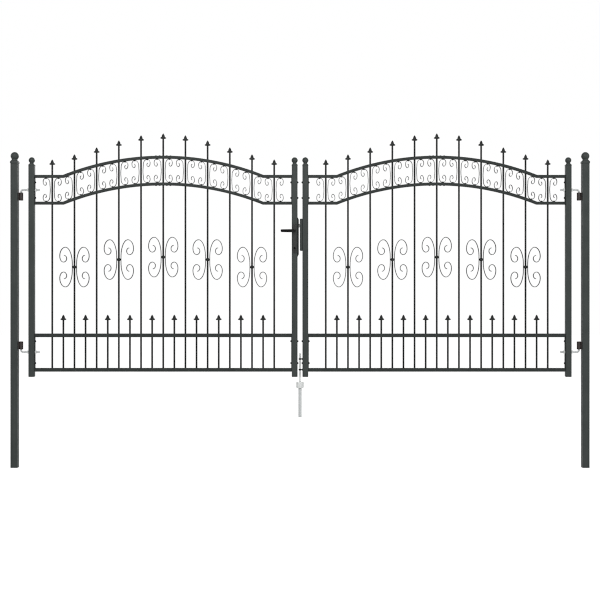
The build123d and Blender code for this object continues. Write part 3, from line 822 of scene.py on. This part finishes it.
# Pin nuts: zinc-plated nuts and thin washers that grip each hinge pin at both faces of its stile, and
# set how far the leaf stands from the post.
washer_radius = 12 * mm
washer_bore = 6.3 * mm
washer_thick = 2.2 * mm
washer_ease = 0.4 * mm
nut_corner = 10.6 * mm
nut_top = 11.5 * mm
nut_bevel = 1.6 * mm
nut_bore = 6.2 * mm
washer_profile = [(washer_bore, 0), (washer_radius - washer_ease, 0), (washer_radius, washer_ease),
                  (washer_radius, washer_thick - washer_ease),
                  (washer_radius - washer_ease, washer_thick), (washer_bore, washer_thick)]
for side, way in sides.items():
    outer, inner = ends_of(f"{side}_hinge_stile", way)
    nuts = bmesh.new()
    for height in pin_heights:
        for at, along in ((inner - way * plate_thick, -way * X), (outer, way * X)):
            seat = Vector((at, 0, height))
            ring_skin(nuts, turned(washer_profile, seat, along, count=32))
            ring_skin(nuts, six_sided(seat, along, nut_corner, washer_thick, nut_top, nut_bevel, nut_bore))
    set_up(f"pin_nuts_{side}", nuts, bright_zinc, f"{side}_leaf", "zinc_steel")

# End plate bolts: black round-headed bolts that join the end plates to the stiles, two to a plate.
# Those of the lock stile go right through and show on its outer face too.
bolt_heights = [2003 * mm, 1894 * mm, 887 * mm, 733 * mm]
bolt_head = 7 * mm
bolt_rise = 7 * mm
for side, way in sides.items():
    hinge_inner = ends_of(f"{side}_hinge_stile", way)[1] - way * plate_thick
    lock_side, lock_outer = ends_of(f"{side}_lock_stile", way)
    lock_inner = lock_side + way * plate_thick
    bolts = bmesh.new()
    for height in bolt_heights:
        for at, along in ((hinge_inner, -way * X), (lock_inner, way * X), (lock_outer, -way * X)):
            dome(bolts, Vector((at, 0, height)), along, bolt_head, bolt_rise, count=20)
    set_up(f"end_plate_bolts_{side}", bolts, fixing_black, f"{side}_leaf", "lock_black")

# Lock forend: a pressed steel case along the left leaf's meeting edge, with slanted ends.
# It is painted black and screwed to the stile, and the latch comes out of it.
case_slant = 14 * mm
case_turn = 17 * mm
case_nose = 1.5 * mm
case_ease = 1.2 * mm
lever_black = worn_finish("lever black", dark=(0.003, 0.003, 0.003), light=(0.007, 0.007, 0.007),
                          clouds=45.0, rough=(0.4, 0.55), patches=110.0, peel=1100.0,
                          relief=0.15, depth=0.3 * mm, gloss=0.2)
low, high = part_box("lock_forend")
outline = [Vector((low.x, 0, high.z)), Vector((high.x - case_nose, 0, high.z - case_slant)),
           Vector((high.x, 0, high.z - case_turn)), Vector((high.x, 0, low.z + case_turn)),
           Vector((high.x - case_nose, 0, low.z + case_slant)), Vector((low.x, 0, low.z))]
case = bmesh.new()
slab(case, outline, Y, low.y, high.y, case_ease)
set_up("lock_case", case, lever_black, "left_leaf", "anthracite_coat", "lock_forend")

# Latch bolt: a zinc-plated steel tongue, bevelled on the side that meets the strike.
# It slides in the forend, drawn back by the levers and pushed out by a spring.
latch_bevel = 8 * mm
latch_flat = 2.5 * mm
latch_nose = 0.5 * mm
latch_turn = 3.5 * mm
latch_ease = 0.8 * mm
# The latch's zinc plate is painted far paler than the other zinc: painted light, making up for the shade in
# the narrow gap between forend and strike.
latch_zinc_painted_light = zinc("zinc plate, painted light", dark=(0.78, 0.79, 0.79), light=(0.9, 0.91, 0.9),
                  rough=(0.3, 0.42), shine=0.3)
low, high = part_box("latch_bolt")
outline = [Vector((low.x, low.y, 0)), Vector((high.x - latch_bevel, low.y, 0)),
           Vector((high.x - latch_nose, high.y - latch_turn, 0)), Vector((high.x, high.y - latch_flat, 0)),
           Vector((high.x, high.y, 0)), Vector((low.x, high.y, 0))]
tongue = bmesh.new()
slab(tongue, outline, Z, low.z, high.z, latch_ease)
set_up("latch_tongue", tongue, latch_zinc_painted_light, "latch", "zinc_steel", "latch_bolt")

# Lock plates: black pressed plates on both faces of the stile, round-cornered, with a raised rosette
# round the spindle. A screw near each end goes through the stile from plate to plate.
face_plate_wide = 28 * mm
face_plate_thick = 6 * mm
face_plate_corner = 5 * mm
face_plate_ease = 1.4 * mm
spindle_height = 1663.5 * mm
plate_screw = 3.6 * mm
plate_screw_rise = 1.6 * mm
plate_screw_in = 8 * mm
rosette_rows = [(13.2, -0.5), (13.2, 1.6), (12.6, 2.6), (11.2, 3.2), (8.6, 3.4)]
rosette = [(radius * mm, rise * mm) for radius, rise in rosette_rows]
lock_black = worn_finish("lock black", dark=(0.0108, 0.0114, 0.0112), light=(0.0195, 0.0205, 0.0202),
                         clouds=45.0, rough=(0.32, 0.46), patches=110.0, peel=1100.0,
                         relief=0.15, depth=0.3 * mm)
low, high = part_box("lock_plates")
plate_x = (low.x + high.x) / 2
plate_z = (low.z + high.z) / 2
corners = rounded(face_plate_wide, high.z - low.z, face_plate_corner, steps=5)
outline = [Vector((plate_x + u, 0, plate_z + v)) for u, v in corners[::-1]]
plates = bmesh.new()
for out in (-1, 1):
    stile_face = out * (high.y - face_plate_thick)
    plate_face = out * high.y
    slab(plates, outline, Y, min(stile_face, plate_face), max(stile_face, plate_face), face_plate_ease)
    skin(plates, turned(rosette, Vector((plate_x, plate_face, spindle_height)), out * Y, count=36))
    for height in (low.z + plate_screw_in, high.z - plate_screw_in):
        at = Vector((plate_x, plate_face, height))
        dome(plates, at, out * Y, plate_screw, plate_screw_rise, count=16)
set_up("lock_face_plates", plates, lock_black, "left_leaf", "lock_black", "lock_plates")

# Lock cylinder: a blackened profile cylinder through both plates, round above and narrow below.
# A turned plug with a key slot stands in it at each face.
head_radius = 8.4 * mm
head_up = 7.5 * mm
tail_radius = 5 * mm
tail_down = 10.5 * mm
pear_start = math.radians(-53)
pear_turn = math.radians(286)
pear_steps = 24
tail_steps = 8
cylinder_ease = 0.5 * mm
key_plug_proud = 0.6 * mm
key_plug_rows = [(6.6, -0.3), (6.6, 0.35), (6.1, 0.6), (0.2, 0.6)]
key_plug = [(radius * mm, rise * mm) for radius, rise in key_plug_rows]
slot_line = [(-0.9, 3.4), (0.9, 3.4), (0.9, 6.0), (1.5, 6.6), (1.5, 9.0), (0.9, 9.6), (0.9, 11.4),
             (-0.9, 11.4), (-0.9, 9.2), (-0.4, 8.6), (-0.4, 7.0), (-0.9, 6.4)]
slot_proud = 0.05 * mm
slot_sunk = 0.25 * mm
dark_nickel = zinc("blackened nickel", dark=(0.0175, 0.018, 0.0178), light=(0.035, 0.036, 0.0356),
                   rough=(0.28, 0.4), shine=0.3)
low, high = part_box("lock_cylinder")
middle = Vector(((low.x + high.x) / 2, 0, (low.z + high.z) / 2))
pear = []
for i in range(pear_steps + 1):
    angle = pear_start + pear_turn * i / pear_steps
    pear.append(Vector((head_radius * math.cos(angle), 0, head_up + head_radius * math.sin(angle))))
for i in range(tail_steps + 1):
    angle = math.pi * (1 + i / tail_steps)
    pear.append(Vector((tail_radius * math.cos(angle), 0, tail_radius * math.sin(angle) - tail_down)))
barrel = bmesh.new()
slab(barrel, [middle + point for point in pear[::-1]], Y, low.y, high.y, cylinder_ease)
slots = bmesh.new()
slot_outline = [middle + Vector((u * mm, 0, v * mm)) for u, v in slot_line[::-1]]
for out in (-1, 1):
    seat = middle + Vector((0, out * (high.y - key_plug_proud), head_up))
    skin(barrel, turned(key_plug, seat, out * Y, count=32))
    slab(slots, slot_outline, Y, out * high.y - slot_sunk, out * high.y + slot_proud, slot_proud)
set_up("profile_cylinder", barrel, dark_nickel, "left_leaf", "zinc_steel", "lock_cylinder")
set_up("key_slots", slots, fixing_black, "left_leaf", "lock_black")

# Lever handles: black cast levers front and back on one spindle. Each comes out from the plate, turns
# towards the hinges and ends in a rounded tip.
lever_half = 7 * mm
lever_bend = 9 * mm
lever_root = 18 * mm
grip_from_face = 5.4 * mm
tip_short = 5 * mm
grip_shares = [(0.3, 0.72, 1.04), (0.55, 0.70, 0.99), (0.8, 0.70, 0.93), (0.93, 0.68, 0.88),
               (0.97, 0.62, 0.80), (0.99, 0.5, 0.60), (1.0, 0.2, 0.25)]
lever_softness = 3
bend_thinner = 0.25
bend_taller = 0.05
low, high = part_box("lever_handles")
grip_y = high.y - grip_from_face
grip_start = plate_x - lever_bend
grip_long = low.x + tip_short - grip_start
levers = bmesh.new()
for out in (-1, 1):
    path = [Vector((plate_x, out * lever_root, spindle_height)),
            Vector((plate_x, out * (grip_y - lever_bend), spindle_height))]
    girth = [(1.0, 1.0), (1.0, 1.0)]
    for i in range(1, bend_steps + 1):
        share = i / bend_steps
        angle = math.pi / 2 * share
        path.append(Vector((plate_x - lever_bend * (1 - math.cos(angle)),
                            out * (grip_y - lever_bend * (1 - math.sin(angle))), spindle_height)))
        girth.append((1.0 - bend_thinner * share, 1.0 + bend_taller * share))
    for share, deep, tall in grip_shares:
        path.append(Vector((grip_start + grip_long * share, out * grip_y, spindle_height)))
        girth.append((deep, tall))
    rings = []
    for i, point in enumerate(path):
        run = (path[min(i + 1, len(path) - 1)] - path[max(i - 1, 0)]).normalized()
        across = Z.cross(run)
        deep, tall = girth[i]
        ring = []
        for u, v in round_outline(1):
            spread = abs(u) ** lever_softness + abs(v) ** lever_softness
            soft = lever_half * spread ** (-1 / lever_softness)
            ring.append(point + across * (deep * u * soft) + Z * (tall * v * soft))
        rings.append(ring)
    skin(levers, rings)
set_up("lever_pair", levers, lever_black, "lever", "lock_black", "lever_handles")

# Strike: a shallow box folded from sheet, with rounded corners, that the latch shuts against.
# It is welded to the right leaf's meeting edge and coated with the stile.
strike_corner = 7 * mm
strike_ease = 1.6 * mm
strike_steps = 6
low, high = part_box("lock_strike")
outline = [Vector((high.x, 0, low.z)), Vector((high.x, 0, high.z))]
for quarter, height in ((1, high.z - strike_corner), (2, low.z + strike_corner)):
    for i in range(strike_steps + 1):
        angle = math.pi / 2 * (quarter + i / strike_steps)
        outline.append(Vector((low.x + strike_corner + strike_corner * math.cos(angle), 0,
                               height + strike_corner * math.sin(angle))))
strike = bmesh.new()
slab(strike, outline[::-1], Y, low.y, high.y, strike_ease)
set_up("strike_box", strike, coat, "right_leaf", "anthracite_coat", "lock_strike")

# Drop bolt guides: two black steel eyes on short stems with a collar, screwed into the right leaf's
# meeting edge. The rod slides in them.
eye_tall = 10 * mm
eye_rows = [(5.2, 0.8), (6, 0), (7.4, 0), (8.8, 1.4), (9.4, 3.6), (9.4, 6.4), (8.8, 8.6), (7.4, 10),
            (6, 10), (5.2, 9.2)]
stem_rows = [(4.2, 8), (4.2, 14.4), (6.8, 14.6), (7.2, 15.2), (7.2, 17.4)]
eye_profile = [(radius * mm, height * mm) for radius, height in eye_rows]
stem_profile = [(radius * mm, reach * mm) for radius, reach in stem_rows]
low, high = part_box("drop_bolt_guides")
rod_low, rod_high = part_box("drop_bolt")
rod_x = (rod_low.x + rod_high.x) / 2
eyes = bmesh.new()
for foot in (low.z, high.z - eye_tall):
    middle = Vector((rod_x, 0, foot))
    ring_skin(eyes, turned(eye_profile, middle, Z, count=32))
    skin(eyes, turned(stem_profile, middle + Z * eye_tall / 2, X, rod_sides))
set_up("rod_eyes", eyes, fixing_black, "right_leaf", "anthracite_coat", "drop_bolt_guides")

# Drop bolt: 10 mm zinc-plated rod, its top bent back to make a handle, with both ends chamfered.
# It hangs in the guides and is dropped into the ground sleeve to hold the right leaf.
rod_radius = 5 * mm
rod_bend = 8 * mm
end_in = 2 * mm
chamfer_rows = {"tip": [(3.2, 0), (4.9, 2), (4.9, 4)], "handle": [(3.6, 0), (4.9, 1.6), (4.9, 4)]}
top = rod_high.z - rod_radius
path = [Vector((rod_x, 0, rod_low.z + end_in))]
for i in range(bend_steps + 1):
    angle = math.pi / 2 * i / bend_steps
    path.append(Vector((rod_x, rod_bend * (1 - math.cos(angle)), top - rod_bend * (1 - math.sin(angle)))))
path.append(Vector((rod_x, rod_high.y - end_in, top)))
rod = bmesh.new()
sweep(rod, path, round_outline(rod_radius), X)
ends = {"tip": (Vector((rod_x, 0, rod_low.z)), Z), "handle": (Vector((rod_x, rod_high.y, top)), -Y)}
for name, (at, along) in ends.items():
    chamfer = [(radius * mm, height * mm) for radius, height in chamfer_rows[name]]
    skin(rod, turned(chamfer, at, along, rod_sides))
set_up("drop_rod", rod, bright_zinc, "drop_bolt", "zinc_steel", "drop_bolt")

# Stage: a wide pale floor that shines by itself, an even white surround, and three soft panels from the
# front, the right and behind. Lengths here are in metres.
gate_middle = 2.005
floor_wide = 60
floor_corner = 12
floor_top = -0.002
floor_foot = -0.05
aim = Vector((2.0, 0.0, 1.2))
pale, shader, place = finish_of("pale floor")
clouds = mottle(pale, place, scale=1.5, dark=(0.24, 0.24, 0.24), light=(0.27, 0.27, 0.27))
pale.node_tree.links.new(clouds, shader.inputs["Base Color"])
shader.inputs["Roughness"].default_value = 0.9
shader.inputs["Specular IOR Level"].default_value = 0.0
shader.inputs["Emission Color"].default_value = (1, 1, 1, 1)
shader.inputs["Emission Strength"].default_value = 0.78
floor = bmesh.new()
floor_outline = rounded(floor_wide, floor_wide, floor_corner, steps=12)
skin(floor, [[Vector((gate_middle + u, v, z)) for u, v in floor_outline] for z in (floor_foot, floor_top)])
bmesh.ops.recalc_face_normals(floor, faces=floor.faces)
data = bpy.data.meshes.new("floor")
floor.to_mesh(data)
floor.free()
data.materials.append(pale)
ground = bpy.data.objects.new("floor", data)
scene = bpy.context.scene
scene.collection.objects.link(ground)

scene.world = bpy.data.worlds.new("studio")
scene.world.use_nodes = True
surround = scene.world.node_tree.nodes["Background"]
surround.inputs["Color"].default_value = (1.0, 1.0, 1.0, 1)
surround.inputs["Strength"].default_value = 1.0


def soft_light(name, at, wide, tall, power):
    """A large soft panel that shines on the gate's middle."""
    lamp = bpy.data.lights.new(name, "AREA")
    lamp.shape = "RECTANGLE"
    lamp.size = wide
    lamp.size_y = tall
    lamp.energy = power
    panel = bpy.data.objects.new(name, lamp)
    panel.location = at
    panel.rotation_euler = (aim - Vector(at)).to_track_quat("-Z", "Y").to_euler()
    scene.collection.objects.link(panel)


soft_light("front panel", at=(0.6, -7.0, 5.5), wide=5.0, tall=3.0, power=360)
soft_light("right panel", at=(8.5, -3.5, 3.0), wide=2.5, tall=3.5, power=160)
soft_light("rear panel", at=(3.4, 7.0, 5.0), wide=5.0, tall=3.0, power=260)

# Camera: level, straight in front of the gate, at the distance and with the lens that fit the photograph.
# Thin strips stay crisp with a narrow pixel filter, a lower display gamma and a little sharpening.
camera_place = (gate_middle, -8.025, 1.1764)
camera = bpy.data.cameras.new("camera")
camera.lens = 68.5
camera.sensor_width = 36
tripod = bpy.data.objects.new("camera", camera)
tripod.location = camera_place
tripod.rotation_euler = (math.pi / 2, 0, 0)
scene.collection.objects.link(tripod)
scene.camera = tripod
scene.view_settings.view_transform = "Standard"
scene.view_settings.gamma = 0.82
scene.cycles.filter_width = 1.3
scene.use_nodes = True
tree = scene.node_tree
tree.nodes.clear()
seen = tree.nodes.new("CompositorNodeRLayers")
crisp = tree.nodes.new("CompositorNodeFilter")
crisp.filter_type = "SHARPEN_DIAMOND"
crisp.inputs["Fac"].default_value = 0.025
shown = tree.nodes.new("CompositorNodeComposite")
tree.links.new(seen.outputs["Image"], crisp.inputs["Image"])
tree.links.new(crisp.outputs["Image"], shown.inputs["Image"])
